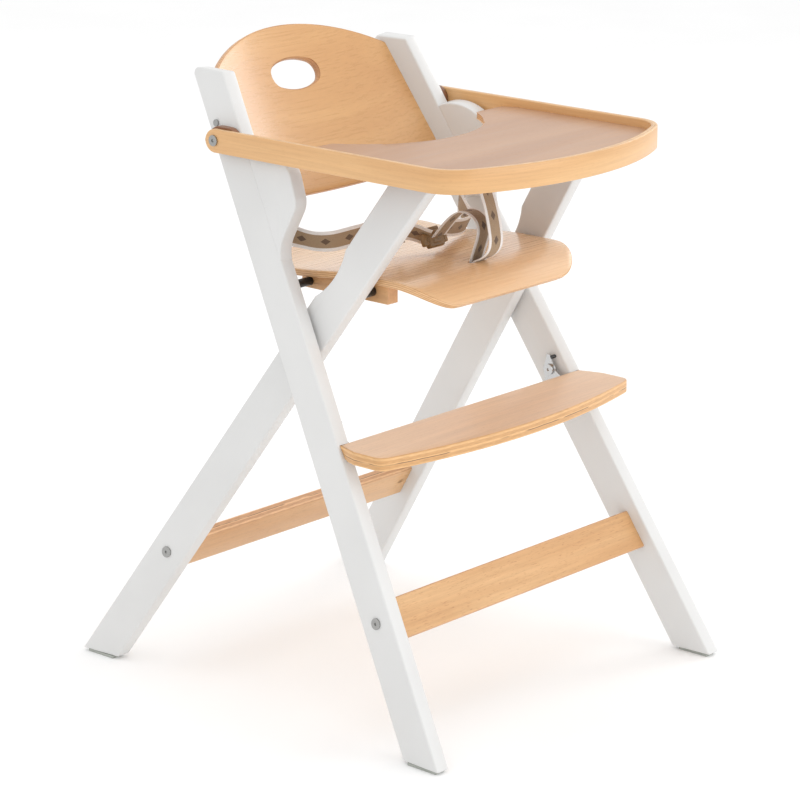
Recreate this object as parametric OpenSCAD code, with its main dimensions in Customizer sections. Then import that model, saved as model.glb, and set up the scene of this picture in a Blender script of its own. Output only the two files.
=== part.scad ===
// Folding baby high chair: two splayed, crossed leg frames, moulded seat and backrest,
// footrest and a swing-up tray. Millimetres, front towards -Y, floor at Z = 0.

/* [Frames] */
// Height of the fold pivot above the floor
pivot_z = 510.7; // [505:0.1:515]
// Lean of the front leg frame, tops towards the back
front_lean = 29.7; // [29:0.1:30.5]
// Lean of the rear leg frame, tops towards the front
rear_lean = 33.9; // [33:0.1:34.5]
// Half of the front frame's outer width at the pivot
front_half_w = 240; // [238:0.5:244]
// Thickness of every leg
leg_t = 23; // [22:0.5:24]
// Width of every leg, seen from the side
leg_w = 55.5; // [54:0.5:57]
// Gap between a front leg and a rear leg at the pivot
leg_gap = 4.4; // [4.4:0.1:5]
// Height of the tops of the front legs
front_top_z = 856; // [850:1:860]
// Height of the tops of the rear legs, under the tray
rear_top_z = 759; // [755:1:760]

/* [Crossrails] */
// Thickness of both crossrails
crossrail_t = 18; // [15:0.5:18]
// Height of both crossrails
crossrail_h = 57; // [50:1:60]

/* [Backrest] */
// Thickness of the backrest
back_t = 9; // [8:0.5:9.5]
// Radius of the curve of its front face
back_curve_r = 613; // [600:1:640]
// Width of the hand hole
hand_hole_w = 91; // [84:1:96]

/* [Seat] */
// Half of the seat's width
seat_half_w = 168; // [160:1:168]
// Mean height of the seat's top face
seat_z = 600; // [599:0.5:601]
// Thickness of the seat
seat_t = 9.5; // [8:0.5:10]
// Y of the seat's front edge
seat_front_y = -212; // [-216:1:-206]
// Y of the seat's rear edge
seat_rear_y = 115; // [105:1:120]

/* [Footrest] */
// Half of the footrest's width
foot_half_w = 264; // [258:0.5:268]
// Height of the footrest's top face
foot_z = 395; // [392:0.5:398]
// Thickness of the footrest
foot_t = 18; // [15:0.5:18]

/* [Tray] */
// Half of the tray's outer width
tray_half_w = 225.5; // [225:0.5:230]
// Height of the rim's top edge
tray_top_z = 783.4; // [782:0.2:785]
// Height of the rim
rim_h = 32.4; // [30:0.2:33]
// Thickness of the rim
rim_t = 9; // [7:0.5:9]
// Y of the tray's front edge
tray_front_y = -349; // [-355:1:-345]
// Depth of the board below the rim's top edge
tray_recess = 11.4; // [9:0.2:12]
// Thickness of the tray board
board_t = 9; // [8:0.5:9]

/* [Harness] */
// Width of the webbing
web_w = 28; // [25:1:30]
// Thickness of the webbing
web_t = 1.6; // [1.2:0.1:2]

/* [Hidden] */
$fn = 96;

centre_y = 1.3;                // moves the whole chair so that its box is centred on Y = 0
pivot_y = -27.5;
front_splay = 6.45;            // a leg's slant in the plane of its frame
rear_splay = 7.07;
pad_t = 4;                     // thickness of a foot pad
fit = 0.08;                    // radial running clearance
gap = 0.3;                     // clearance between faces that pass each other
front_x = front_half_w - leg_t / cos(front_splay) / 2;
rear_half_w = front_half_w - leg_t / cos(front_splay) - leg_gap;
rear_x = rear_half_w - leg_t / cos(rear_splay) / 2;
half_leg = leg_w / 2;
BIG = 1200;

// joint centres, as [y, z]
seat_pivot = [pivot_y + 80 * sin(front_lean), pivot_z + 80 * cos(front_lean)];
seat_pin = [pivot_y - 74.5, pivot_z + 74.3];
tray_pivot = [128.5, 768];
foot_pivot = [-95.8, 396.2];
foot_stop = [-100.5, 415.3];

// distance along a front leg from the pivot to height z, on the line y = across (leg frame)
function front_s(z, across) =
  (z - pivot_z + across * sin(front_lean)) / (cos(front_lean) * cos(front_splay));
// inner face of the legs at a distance up the frame from the pivot
function front_inner(up) = front_half_w - leg_t / cos(front_splay) - up * tan(front_splay);
function rear_inner(up) = rear_half_w - leg_t / cos(rear_splay) - up * tan(rear_splay);
function arc(cx, cy, r, from, to, steps = 16) =
  [for (i = [0 : steps]) let (a = from + (to - from) * i / steps) [cx + r * cos(a), cy + r * sin(a)]];
function mirrored(points) = [for (i = [len(points) - 1 : -1 : 0]) [-points[i][0], points[i][1]]];

module place() { translate([0, centre_y, 0]) children(); }
module both_sides() { children(); mirror([1, 0, 0]) children(); }
module on_side(side) { if (side > 0) children(); else mirror([1, 0, 0]) children(); }
module front_frame() { translate([0, pivot_y, pivot_z]) rotate([-front_lean, 0, 0]) children(); }
module rear_frame() { translate([0, pivot_y, pivot_z]) rotate([rear_lean, 0, 0]) children(); }
// a leg's own frame on the +X side: X through its thickness, Z up the leg
module front_leg_frame() { front_frame() translate([front_x, 0, 0]) rotate([0, -front_splay, 0]) children(); }
module rear_leg_frame() { rear_frame() translate([rear_x, 0, 0]) rotate([0, -rear_splay, 0]) children(); }
// round bar along X from x0 to x1, centred on [y, z]
module bar(r, x0, x1, yz) { translate([x0, yz[0], yz[1]]) rotate([0, 90, 0]) cylinder(r = r, h = x1 - x0); }
// extrudes a profile drawn in [y, z] along X
module side_profile(x0, x1) {
  translate([x0, 0, 0]) rotate([90, 0, 90]) linear_extrude(height = x1 - x0) children();
}
module below(z) { translate([-BIG, -BIG, z - BIG]) cube([2 * BIG, 2 * BIG, BIG]); }
module above(z) { translate([-BIG, -BIG, z]) cube([2 * BIG, 2 * BIG, BIG]); }

// ---------- front legs ----------
top_r = 8;                     // rounding of the top rear corner
top_s = front_s(front_top_z, half_leg);
slide = top_r * (1 + sin(front_lean)) / cos(front_lean);
module front_leg_profile() {
  polygon(concat(
    [[half_leg, -660], [-half_leg, -660], [-half_leg, top_s - leg_w * tan(front_lean)]],
    arc(half_leg - top_r, top_s - top_r * cos(front_lean) - slide * sin(front_lean),
        top_r, 90 + front_lean, 0, 8)));
}
module front_leg() {
  color("white") difference() {
    front_leg_frame() side_profile(-leg_t / 2, leg_t / 2) front_leg_profile();
    below(pad_t);
    backrest_blank(back_t + 0.3);
    bar(13 + fit, 200, washer_x[1], [pivot_y, pivot_z]);
    bar(6, washer_x[1] - 1, insert_end_x, [pivot_y, pivot_z]);
    bar(spacer_r + fit, 190, spacer_x[1], seat_pivot);
    bar(3, 200, rear_bolt_x[1], seat_pivot);
    bar(4, tray_bolt_x[0] - gap, tray_bolt_x[1] + 20, tray_pivot);
    bar(3, 220, foot_bolt_x[1], foot_pivot);
    bar(2.5, 220, foot_bolt_x[1], foot_stop);
    front_leg_frame() bar(3.2, -leg_t, leg_t, [0, front_bolt_s]);
    front_leg_frame() bar(2.5, -leg_t, leg_t, back_bolt);
  }
}
module left_front_leg() { place() on_side(-1) front_leg(); }
module right_front_leg() { place() on_side(1) front_leg(); }

// wing glued to the front edge of a front leg, under the tray arm
wing_tip = [208, 22];          // centre of its large top round, as [up, forward]
wing_r = 70;
module wing_profile() {
  polygon([for (p = concat(
      [[277, half_leg], [110, half_leg]],
      arc(105, half_leg + 40, 40, -83, -35, 10),
      arc(183.4, 61.2, 28, 145, 90, 10),
      arc(wing_tip[0], wing_tip[1], wing_r, 90, 6, 20))) [-p[1], p[0]]]);
}
module leg_wing() {
  color("white") difference() {
    front_leg_frame() side_profile(-leg_t / 2, leg_t / 2) wing_profile();
    bar(2.2, 180, belt_screw_tip, belt_screw);
  }
}
module left_leg_wing() { place() on_side(-1) leg_wing(); }
module right_leg_wing() { place() on_side(1) leg_wing(); }

// ---------- rear legs ----------
scallop_up = 100;              // hollow in the rear edge that clears the seat's rear spacer
scallop_depth = 8.8;
scallop_r = 104.6;
module rear_leg() {
  color("white") difference() {
    rear_leg_frame() side_profile(-leg_t / 2, leg_t / 2)
      difference() {
        translate([-half_leg, -700]) square([leg_w, 1100]);
        translate([half_leg - scallop_depth + scallop_r, scallop_up]) circle(r = scallop_r, $fn = 180);
      }
    below(pad_t);
    above(rear_top_z);
    bar(13 + fit, washer_x[0] - gap, 240, [pivot_y, pivot_z]);
    bar(4 + fit, 150, 240, [pivot_y, pivot_z]);
    bar(9, 150, fold_head_x, [pivot_y, pivot_z]);
    bar(front_spacer_r, 150, front_spacer_x[1], seat_pin);
    bar(3, 150, front_bolt_x[1], seat_pin);
    rear_leg_frame() bar(3.2, -leg_t, leg_t, [0, rear_bolt_s]);
  }
}
module left_rear_leg() { place() on_side(-1) rear_leg(); }
module right_rear_leg() { place() on_side(1) rear_leg(); }

// ---------- crossrails ----------
front_rail_up = -391;
rear_rail_up = -412;
front_bolt_s = -388.5 / cos(front_splay);
rear_bolt_s = -405 / cos(rear_splay);
module front_crossrail() {
  color("burlywood") place() difference() {
    front_frame() rotate([90, 0, 0]) linear_extrude(height = crossrail_t, center = true)
      polygon([for (c = [[1, -1], [1, 1], [-1, 1], [-1, -1]])
        let (up = front_rail_up + c[1] * crossrail_h / 2) [c[0] * front_inner(up), up]]);
    both_sides() front_leg_frame() bar(3.2, -60, 0, [0, front_bolt_s]);
    both_sides() front_leg_frame() translate([-35, 30, front_bolt_s]) rotate([90, 0, 0])
      cylinder(r = 5, h = 38);
  }
}
module rear_crossrail() {
  color("burlywood") place() difference() {
    rear_frame() rotate([90, 0, 0]) linear_extrude(height = crossrail_t, center = true)
      polygon([for (c = [[1, -1], [1, 1], [-1, 1], [-1, -1]])
        let (up = rear_rail_up + c[1] * crossrail_h / 2) [c[0] * rear_inner(up), up]]);
    both_sides() rear_leg_frame() bar(3.2, -40, 0, [0, rear_bolt_s]);
    both_sides() rear_leg_frame() translate([-26, 8, rear_bolt_s]) rotate([90, 0, 0]) cylinder(r = 5, h = 38);
  }
}
// flat-headed furniture bolt along a leg's X, head on the outer face
module furniture_bolt(tip) {
  difference() {
    union() { bar(3, tip, leg_t / 2, [0, 0]); bar(7.8, leg_t / 2, leg_t / 2 + 1.8, [0, 0]); }
    translate([leg_t / 2 + 0.4, 0, 0]) rotate([0, 90, 0]) cylinder(r = 2.3, h = 3, $fn = 6);
  }
}
module front_crossrail_bolts() {
  color("silver") place() both_sides() front_leg_frame() translate([0, 0, front_bolt_s]) furniture_bolt(-44);
}
module rear_crossrail_bolts() {
  color("silver") place() both_sides() rear_leg_frame() translate([0, 0, rear_bolt_s]) furniture_bolt(-35);
}
module barrel_nut(x) {
  difference() {
    translate([x, 7.5, 0]) rotate([90, 0, 0]) cylinder(r = 4.9, h = 15);
    bar(3, x - 9, x + 9, [0, 0]);
  }
}
module front_barrel_nuts() {
  color("gray") place() both_sides() front_leg_frame() translate([0, 0, front_bolt_s]) barrel_nut(-35);
}
module rear_barrel_nuts() {
  color("gray") place() both_sides() rear_leg_frame() translate([0, 0, rear_bolt_s]) barrel_nut(-26);
}

// ---------- foot pads ----------
module foot_pad(y, x) { translate([x - 9, y - 25, 0]) cube([18, 50, pad_t]); }
module front_foot_pads() {
  color("slategray") place() both_sides() foot_pad(-317, 295);
}
module rear_foot_pads() {
  color("slategray") place() both_sides() foot_pad(313, 278.5);
}

// ---------- fold pivot ----------
washer_x = [212.2, 218.5];
fold_head_x = 192.3;
insert_end_x = 234;
module fold_pivot_bolts() {
  color("silver") place() both_sides() difference() {
    union() {
      bar(4, fold_head_x - gap, insert_end_x - 1, [pivot_y, pivot_z]);
      bar(8.5, fold_head_x - gap - 3.4, fold_head_x - gap, [pivot_y, pivot_z]);
    }
    translate([fold_head_x - gap - 3.5, pivot_y, pivot_z]) rotate([0, 90, 0])
      cylinder(r = 3, h = 2.6, $fn = 6);
  }
}
module fold_pivot_washers() {
  color("dimgray") place() both_sides() difference() {
    bar(13, washer_x[0], washer_x[1], [pivot_y, pivot_z]);
    bar(4, washer_x[0] - 1, washer_x[1] + 1, [pivot_y, pivot_z]);
  }
}
module fold_pivot_inserts() {
  color("goldenrod") place() both_sides() difference() {
    bar(6, washer_x[1], insert_end_x, [pivot_y, pivot_z]);
    bar(4, washer_x[1] - 1, insert_end_x - 1, [pivot_y, pivot_z]);
  }
}

// ---------- backrest ----------
back_centre = 578;             // distance of the curve's centre in front of the frame's plane
back_low = 204;
back_top = 452;
back_top_r = 280;
// curved sheet of thickness t that fills the space between the legs
module backrest_blank(t) {
  front_frame() intersection() {
    translate([0, -back_centre, back_low]) difference() {
      cylinder(r = back_curve_r + back_t / 2 + t / 2, h = 260, $fn = 360);
      translate([0, 0, -1]) cylinder(r = back_curve_r + back_t / 2 - t / 2, h = 262, $fn = 360);
    }
    rotate([90, 0, 0]) translate([0, 0, -60]) linear_extrude(height = 70) intersection() {
      polygon([for (c = [[1, back_low], [1, back_top], [-1, back_top], [-1, back_low]])
        [c[0] * (front_inner(c[1]) + 4), c[1]]]);
      translate([0, back_top - back_top_r]) circle(r = back_top_r, $fn = 360);
    }
  }
}
oval_end_r = 17;
oval_side_r = 90;
module hand_hole_outline() {
  reach = hand_hole_w / 2 - oval_end_r;
  shift = (reach * reach - (oval_side_r - oval_end_r) * (oval_side_r - oval_end_r)) * -1;
  intersection() {
    translate([0, sqrt(shift)]) circle(r = oval_side_r, $fn = 180);
    translate([0, -sqrt(shift)]) circle(r = oval_side_r, $fn = 180);
    square([1.554 * hand_hole_w / 2, 80], center = true);
  }
  for (s = [-1, 1]) translate([s * reach, 0]) circle(r = oval_end_r);
}
module backrest() {
  color("burlywood") place() difference() {
    backrest_blank(back_t);
    front_frame() rotate([90, 0, 0]) translate([0, 378.5, -80])
      linear_extrude(height = 100) hand_hole_outline();
    both_sides() front_leg_frame() bar(2.5, -leg_t - 20, leg_t, back_bolt);
  }
}
back_bolt = [12.5, 326];       // place of the backrest bolt on a leg, as [across, up]
module backrest_bolts() {
  color("dimgray") place() both_sides() front_leg_frame() {
    bar(2.5, -leg_t / 2 - 3, leg_t / 2, back_bolt);
    bar(4.8, leg_t / 2, leg_t / 2 + 2.2, back_bolt);
  }
}

// ---------- seat ----------
wave = 5.5;                    // rise and fall of the moulded seat
wave_length = 300;
lip_y = -147;                  // the seat bends down in front of this line
lip_r = 83;
lip_turn = asin((lip_y - seat_front_y) / lip_r);
// top face behind the lip
function seat_top(y) = y < -95 ? seat_z + wave : seat_z + wave * cos(360 * (y + 95) / wave_length);
seat_steps = 30;
function seat_y(i) = lip_y + (seat_rear_y - lip_y) * i / seat_steps;
slot_y = -149;
slot_w = 34;
module seat() {
  color("burlywood") place() difference() {
    intersection() {
      side_profile(-seat_half_w, seat_half_w) polygon(concat(
        arc(lip_y, seat_z + wave - lip_r, lip_r, 90 + lip_turn, 90, 14),
        [for (i = [1 : seat_steps]) [seat_y(i), seat_top(seat_y(i))]],
        [for (i = [seat_steps : -1 : 1]) [seat_y(i), seat_top(seat_y(i)) - seat_t]],
        arc(lip_y, seat_z + wave - lip_r, lip_r - seat_t, 90, 90 + lip_turn, 14)));
      translate([0, 0, 500]) linear_extrude(height = 200) seat_outline();
    }
    translate([-slot_w / 2, slot_y - 5, 500]) cube([slot_w, 10, 200]);
    both_sides() for (y = screw_y) translate([150, y, bearer_z]) cylinder(r = 2, h = screw_end(y) - bearer_z);
  }
}
seat_front_r = 61;
seat_rear_r = 30;
module seat_outline() {
  half = concat(arc(seat_half_w - seat_front_r, seat_front_y + seat_front_r, seat_front_r, -90, 0, 24),
                arc(seat_half_w - seat_rear_r, seat_rear_y - seat_rear_r, seat_rear_r, 0, 90, 12));
  polygon(concat(half, mirrored(half)));
}
bearer_x = [140, 160];
bearer_y = [-129, 28];
bearer_z = 570;
slot_arc_r = 130.8;            // curve of the slot that the front pin slides in
slot_half = 3.5;
slot_mid = [-85.46, 1.57];     // lowest point of the slot, from the seat pivot
slot_swing = 13;               // half of the angle that the slot spans
module pin_slot() {
  c = [seat_pivot[0] + slot_mid[0], seat_pivot[1] + slot_mid[1] + slot_arc_r];
  low = 270 - slot_swing;
  high = 270 + slot_swing;
  function round_end(a, from) =
    arc(c[0] + slot_arc_r * cos(a), c[1] + slot_arc_r * sin(a), slot_half, from + 15, from + 165, 10);
  side_profile(bearer_x[0] - 1, bearer_x[1] + 1) polygon(concat(
    arc(c[0], c[1], slot_arc_r + slot_half, low, high, 20), round_end(high, high),
    arc(c[0], c[1], slot_arc_r - slot_half, high, low, 20), round_end(low, low + 180)));
}
screw_y = [-118, 2];
function screw_end(y) = seat_top(y) - 3.5;
module seat_bearer() {
  ys = [for (i = [0 : seat_steps]) if (seat_y(i) > bearer_y[0] && seat_y(i) < bearer_y[1]) seat_y(i)];
  function underside(y) = seat_top(y) - seat_t;
  first = floor((bearer_y[0] - lip_y) * seat_steps / (seat_rear_y - lip_y));
  last = floor((bearer_y[1] - lip_y) * seat_steps / (seat_rear_y - lip_y));
  function between(i, y) = underside(seat_y(i)) +
    (underside(seat_y(i + 1)) - underside(seat_y(i))) * (y - seat_y(i)) / (seat_y(i + 1) - seat_y(i));
  color("sandybrown") difference() {
    side_profile(bearer_x[0], bearer_x[1]) polygon(concat(
      [[bearer_y[0], bearer_z], [bearer_y[0], between(first, bearer_y[0])]],
      [for (y = ys) [y, underside(y)]],
      [[bearer_y[1], between(last, bearer_y[1])], [bearer_y[1], bearer_z]]));
    bar(3 + fit, bearer_x[0] - 1, bearer_x[1] + 1, seat_pivot);
    pin_slot();
    for (y = screw_y) translate([150, y, bearer_z - 1]) {
      cylinder(r = 2, h = 60);
      cylinder(r = 4.2, h = 3.5);
    }
  }
}
module left_seat_bearer() { place() on_side(-1) seat_bearer(); }
module right_seat_bearer() { place() on_side(1) seat_bearer(); }
module seat_screws() {
  color("silver") place() both_sides() for (y = screw_y) translate([150, y, 0]) {
    translate([0, 0, bearer_z + 0.2]) cylinder(r = 4.2, h = 2.3);
    translate([0, 0, bearer_z + 2]) cylinder(r = 2, h = screw_end(y) - bearer_z - 2);
  }
}
spacer_r = 6;
spacer_x = [bearer_x[1] + gap, 209.3];
rear_bolt_x = [bearer_x[0] - gap, 222];
module seat_rear_bolts() {
  color("silver") place() both_sides() difference() {
    union() {
      bar(3, rear_bolt_x[0], rear_bolt_x[1], seat_pivot);
      bar(6, rear_bolt_x[0] - 3, rear_bolt_x[0], seat_pivot);
    }
    translate([rear_bolt_x[0] - 3.1, seat_pivot[0], seat_pivot[1]]) rotate([0, 90, 0])
      cylinder(r = 2.3, h = 2, $fn = 6);
  }
}
module seat_rear_spacers() {
  color("black") place() both_sides() difference() {
    bar(spacer_r, spacer_x[0], spacer_x[1], seat_pivot);
    bar(3, spacer_x[0] - 1, spacer_x[1] + 1, seat_pivot);
  }
}
front_spacer_r = 7;
front_spacer_x = [bearer_x[1] + gap, 180];
front_bolt_x = [bearer_x[0] - gap, 194];
module seat_front_bolts() {
  color("silver") place() both_sides() difference() {
    union() {
      bar(3, front_bolt_x[0], front_bolt_x[1], seat_pin);
      bar(6, front_bolt_x[0] - 3, front_bolt_x[0], seat_pin);
    }
    translate([front_bolt_x[0] - 3.1, seat_pin[0], seat_pin[1]]) rotate([0, 90, 0])
      cylinder(r = 2.3, h = 2, $fn = 6);
  }
}
module seat_front_spacers() {
  color("black") place() both_sides() difference() {
    bar(front_spacer_r, front_spacer_x[0], front_spacer_x[1], seat_pin);
    bar(3, front_spacer_x[0] - 1, front_spacer_x[1] + 1, seat_pin);
  }
}

// ---------- footrest ----------
foot_rear_y = -126;            // top rear edge, against the front edges of the legs
foot_bow_r = 1007;
foot_front_y = -245;
foot_low_z = foot_z - foot_t;
module footrest_outline() {
  bow_y = foot_front_y + foot_bow_r;
  corner_r = 16;
  cx = foot_half_w - corner_r;
  cy = bow_y - sqrt((foot_bow_r - corner_r) * (foot_bow_r - corner_r) - cx * cx);
  half = concat(arc(0, bow_y, foot_bow_r, -90, -90 + asin(cx / (foot_bow_r - corner_r)), 12),
                arc(cx, cy, corner_r, -75, 0, 8),
                [[foot_half_w, -162], [foot_half_w - 11.5, foot_rear_y - 2],
                 [foot_half_w - 11.5, foot_rear_y + 20]]);
  polygon(concat(half, mirrored(half)));
}
module footrest() {
  color("burlywood") place() difference() {
    translate([0, 0, foot_low_z]) linear_extrude(height = foot_t) footrest_outline();
    translate([0, foot_rear_y, foot_z]) rotate([-front_lean, 0, 0])
      translate([-BIG / 2, 0, -60]) cube([BIG, 100, 120]);
    for (y = foot_screw_y) both_sides() translate([bracket_x - 12, y, foot_low_z - 1])
      cylinder(r = 1.8, h = 13);
  }
}
bracket_x = 226;               // outer face of a bracket's upright web
bracket_t = 2.5;
foot_screw_y = [-156, -186];
module footrest_bracket() {
  color("silver") difference() {
    union() {
      side_profile(bracket_x - bracket_t, bracket_x) {
        translate(foot_pivot) circle(r = 11);
        polygon([[foot_pivot[0], 418], [foot_pivot[0] + 5, 418], [foot_pivot[0] + 10.5, foot_pivot[1]],
                 [foot_pivot[0] + 6, foot_low_z - 8], [-192, foot_low_z - 8],
                 [-200, foot_low_z], [-136, foot_low_z], [foot_pivot[0] - 11, foot_pivot[1]]]);
      }
      translate([bracket_x - 22, -198, foot_low_z - bracket_t]) cube([22, 60, bracket_t]);
    }
    bar(3 + fit, bracket_x - 10, bracket_x + 10, foot_pivot);
    for (y = foot_screw_y) translate([bracket_x - 12, y, foot_low_z - 10]) cylinder(r = 2.2, h = 12);
  }
}
module left_footrest_bracket() { place() on_side(-1) footrest_bracket(); }
module right_footrest_bracket() { place() on_side(1) footrest_bracket(); }
module footrest_screws() {
  color("silver") place() both_sides() for (y = foot_screw_y) translate([bracket_x - 12, y, 0]) {
    translate([0, 0, foot_low_z - bracket_t - 1.8]) cylinder(r = 4, h = 1.8);
    translate([0, 0, foot_low_z - bracket_t]) cylinder(r = 1.8, h = 13);
  }
}
foot_bolt_x = [bracket_x - bracket_t - gap, 246];
module footrest_pivot_bolts() {
  color("silver") place() both_sides() {
    difference() {
      union() {
        bar(3, foot_bolt_x[0], foot_bolt_x[1], foot_pivot);
        bar(8, foot_bolt_x[0] - 3, foot_bolt_x[0], foot_pivot);
      }
      translate([foot_bolt_x[0] - 3.1, foot_pivot[0], foot_pivot[1]]) rotate([0, 90, 0])
        cylinder(r = 2.3, h = 2, $fn = 6);
    }
  }
}
module footrest_stop_pins() {
  color("dimgray") place() both_sides() bar(2.5, bracket_x - bracket_t - 1, foot_bolt_x[1], foot_stop);
}

// ---------- tray ----------
tray_bow_r = 430;
tray_corner_r = 60;
board_top_z = tray_top_z - tray_recess;
// half of the tray's plan outline, drawn in from the outside by inset
function tray_half(inset) =
  let (w = tray_half_w - inset, bow = tray_bow_r - inset, corner = tray_corner_r - inset,
       by = tray_front_y + tray_bow_r, cx = w - corner,
       cy = by - sqrt((bow - corner) * (bow - corner) - cx * cx),
       turn = asin(cx / (bow - corner)))
  concat(arc(0, by, bow, -90, -90 + turn, 24), arc(cx, cy, corner, -90 + turn, 0, 16));
module tray_plan(inset, rear_y) {
  half = concat(tray_half(inset), [[tray_half_w - inset, rear_y]]);
  polygon(concat(half, mirrored(half)));
}
arm_end_r = rim_h / 2;
board_rear_y = -16;
belly_r = 170;
belly_y = 63;
module tray_rim() {
  color("burlywood") place() difference() {
    translate([0, 0, tray_top_z - rim_h]) linear_extrude(height = rim_h) difference() {
      tray_plan(0, 170);
      tray_plan(rim_t, 171);
    }
    difference() {
      translate([-BIG, tray_pivot[0], 700]) cube([2 * BIG, 80, 150]);
      bar(arm_end_r, -BIG, BIG, [tray_pivot[0], tray_top_z - rim_h / 2]);
    }
    translate([0, 0, board_top_z - board_t])
      linear_extrude(height = board_t) tray_plan(rim_t - 4, board_rear_y);
    bar(4 + fit, -BIG, BIG, tray_pivot);
  }
}
module tray_board() {
  color("tan") place() translate([0, 0, board_top_z - board_t])
  linear_extrude(height = board_t) difference() {
    tray_plan(rim_t - 4, board_rear_y);
    translate([0, belly_y]) circle(r = belly_r, $fn = 180);
  }
}
tray_bolt_x = [190, tray_half_w + 0.3];
block_x = [207.2, tray_half_w - rim_t - gap];
module tray_pivot_bolts() {
  color("silver") place() both_sides() difference() {
    union() {
      bar(4 - fit, tray_bolt_x[0], tray_bolt_x[1], tray_pivot);
      bar(7.6, tray_bolt_x[1], tray_bolt_x[1] + 2, tray_pivot);
    }
    translate([tray_bolt_x[1] + 0.6, tray_pivot[0], tray_pivot[1]]) rotate([0, 90, 0])
      cylinder(r = 2.5, h = 3, $fn = 6);
  }
}
block_r = 18.5;
block_reach = 18;              // distance between the centres of the block's two round ends
module tray_spacer_blocks() {
  color("peru") place() both_sides() difference() {
    side_profile(200, block_x[1]) translate([tray_pivot[0], tray_pivot[1] - 0.5]) {
      circle(r = block_r);
      translate([-block_reach, 0]) circle(r = block_r);
      translate([-block_reach, -block_r]) square([block_reach, 2 * block_r]);
    }
    front_leg_frame() translate([-leg_t / 2 - 60, -200, 0]) cube([leg_t + 60, 400, 500]);
    bar(4, 190, 240, tray_pivot);
  }
}
// wedge on the rear edge of a rear leg's top, that the tray board comes down on
module tray_rest_pads() {
  color("saddlebrown") place() both_sides() difference() {
    rear_leg_frame() translate([-leg_t / 2, half_leg, 262]) cube([leg_t, 14, 60]);
    above(board_top_z - board_t - gap);
    rear_leg_frame() translate([-leg_t, half_leg, 262]) rotate([-50, 0, 0])
      translate([0, 0, -60]) cube([2 * leg_t, 80, 60]);
  }
}

// ---------- harness ----------
// upright band that follows a list of [x, y] points, grown by wide on both faces
module band(points, height, wide = 0) {
  linear_extrude(height = height)
    for (i = [0 : len(points) - 2])
      let (a = points[i], b = points[i + 1], d = b - a, n = norm(d),
           q = [-d[1], d[0]] / n * (web_t / 2 + wide))
        polygon([a - q, b - q, b + q, a + q]);
}
belt_route = [[-201.2, 8], [-201.2, 30], [-193, 38], [-178, 36], [-163, 20], [-151, -4], [-100, -30],
  [-60, -42], [-31, -62]];     // round the back of the folded rear leg, then forward to the buckle
belt_z = 615;                  // height of the belts' lower edges in the chair's middle plane
belt_tilt = 6.5;               // the belts fall from the legs to the buckle
belt_screw = [19, 655];        // where a belt is screwed to a leg, as [y, z]
belt_screw_tip = 212;
module belt_frame() { translate([0, 0, belt_z]) rotate([0, belt_tilt, 0]) children(); }
module waist_belt() {
  difference() {
    belt_frame() band(belt_route, web_w);
    bar(2.6, -210, -190, belt_screw);
  }
}
module left_waist_belt() { color("tan") place() waist_belt(); }
module right_waist_belt() { color("tan") place() mirror([1, 0, 0]) waist_belt(); }
module belt_screws() {
  color("silver") place() both_sides() mirror([1, 0, 0]) {
    bar(2.2, -belt_screw_tip, -196, belt_screw);
    bar(5, -196.3, -194.8, belt_screw);
  }
}
module buckle() {
  color("dimgray") place() translate([-24, -84, belt_z - 3]) cube([48, 16, 26]);
}
module belt_sliders() {
  color("darkkhaki") place() both_sides() difference() {
    belt_frame() translate([-46, -51.7, -2]) rotate([0, 0, -35])
      translate([-3, -5, 0]) cube([6, 10, web_w + 4]);
    belt_frame() translate([0, 0, -0.4]) band(belt_route, web_w + 0.8, 0.4);
  }
}
// band in the chair's middle plane that follows a list of [y, z] points
module side_band(points, width) {
  side_profile(-width / 2, width / 2) for (i = [0 : len(points) - 2])
    let (a = points[i], b = points[i + 1], d = b - a, n = norm(d), q = [-d[1], d[0]] / n * web_t / 2)
      polygon([a - q, b - q, b + q, a + q]);
}
crotch_route = [[slot_y + 2.5, 597], [slot_y + 2.5, 610], [-157, 640], [-155, 664], [-132, 673],
                [-106, 660], [-87, 640]];
module crotch_strap() { color("tan") place() side_band(crotch_route, web_w); }
strap_route = [[slot_y - 2.5, 597], [slot_y - 2.5, 606], [-172, 618], [-181, 640], [-171, 687], [-154, 760]];
module tray_strap() { color("tan") place() side_band(strap_route, web_w); }

left_front_leg();
right_front_leg();
left_leg_wing();
right_leg_wing();
left_rear_leg();
right_rear_leg();
front_crossrail();
rear_crossrail();
front_crossrail_bolts();
rear_crossrail_bolts();
front_barrel_nuts();
rear_barrel_nuts();
front_foot_pads();
rear_foot_pads();
fold_pivot_bolts();
fold_pivot_washers();
fold_pivot_inserts();
backrest();
backrest_bolts();
seat();
left_seat_bearer();
right_seat_bearer();
seat_screws();
seat_rear_bolts();
seat_rear_spacers();
seat_front_bolts();
seat_front_spacers();
footrest();
left_footrest_bracket();
right_footrest_bracket();
footrest_screws();
footrest_pivot_bolts();
footrest_stop_pins();
tray_rim();
tray_board();
tray_pivot_bolts();
tray_spacer_blocks();
tray_rest_pads();
left_waist_belt();
right_waist_belt();
buckle();
belt_sliders();
crotch_strap();
tray_strap();
belt_screws();
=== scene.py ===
import math

import bmesh
import bpy
from mathutils import Matrix, Vector


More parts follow.
